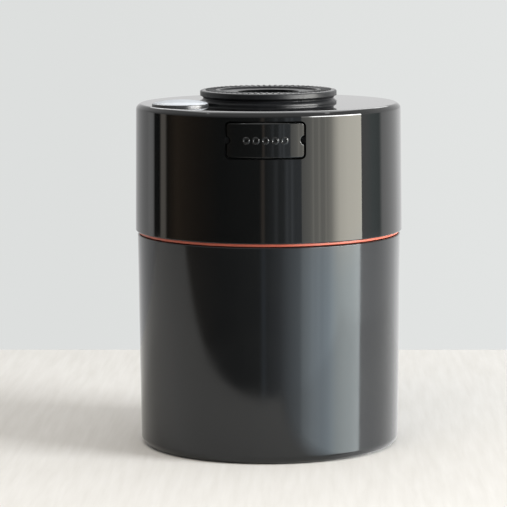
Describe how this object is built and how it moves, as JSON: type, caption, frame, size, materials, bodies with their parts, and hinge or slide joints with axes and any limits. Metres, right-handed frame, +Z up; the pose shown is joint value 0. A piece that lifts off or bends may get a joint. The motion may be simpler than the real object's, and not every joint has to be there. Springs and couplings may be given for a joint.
{
  "type": "coffee canister with valve",
  "caption": "Round push-on vacuum coffee canister: tapered base with a neck, deep gloss lid with a red seal, press-button release valve in its side and a rubber bellows pump on top.",
  "frame": {"origin": "centre of the foot ring, on the surface that the canister stands on", "axes": "+Z up along the canister's axis, -Y towards the front with the press button, +X to the right seen from the front"},
  "size_m": [0.146, 0.1464, 0.1945],
  "materials": {
    "charcoal_plastic": "moulded, satin gloss",
    "black_plastic": "moulded, high gloss",
    "inner_plastic": "moulded, matte",
    "red_silicone": "moulded, satin",
    "black_rubber": "moulded, matte",
    "valve_silicone": "moulded, satin",
    "spring_steel": "drawn wire",
    "badge_carrier": "moulded, satin",
    "badge_face": "domed resin, high gloss"
  },
  "bodies": {
    "base": {"base_cup": "charcoal_plastic"},
    "lid": {"lid_shell": "black_plastic", "neck_seal": "red_silicone", "lid_liner": "inner_plastic", "button_spring": "spring_steel", "pump_collar": "black_rubber", "pump_bellows": "black_rubber", "inlet_valve": "valve_silicone", "badge_disc": "badge_carrier", "badge_dome": "badge_face"},
    "button": {"press_button": "black_plastic", "valve_washer": "valve_silicone", "valve_disc": "inner_plastic"},
    "pump": {"pump_pad": "black_rubber", "exhaust_valve": "valve_silicone"}
  },
  "joints": [
    {"name": "lid_lift", "type": "slide", "parent": "base", "child": "lid", "axis": [0, 0, 1], "range_m": [0, 0.12]},
    {"name": "button_press", "type": "slide", "parent": "lid", "child": "button", "axis": [0, 1, 0], "range_m": [0, 0.002], "stiffness_N_per_m": 1000, "springref_m": -0.0015, "deforming": ["button_spring"]},
    {"name": "pump_press", "type": "slide", "parent": "lid", "child": "pump", "axis": [0, 0, -1], "range_m": [0, 0.0022], "stiffness_N_per_m": 3000, "springref_m": -0.0005, "deforming": ["pump_bellows"]}
  ]
}
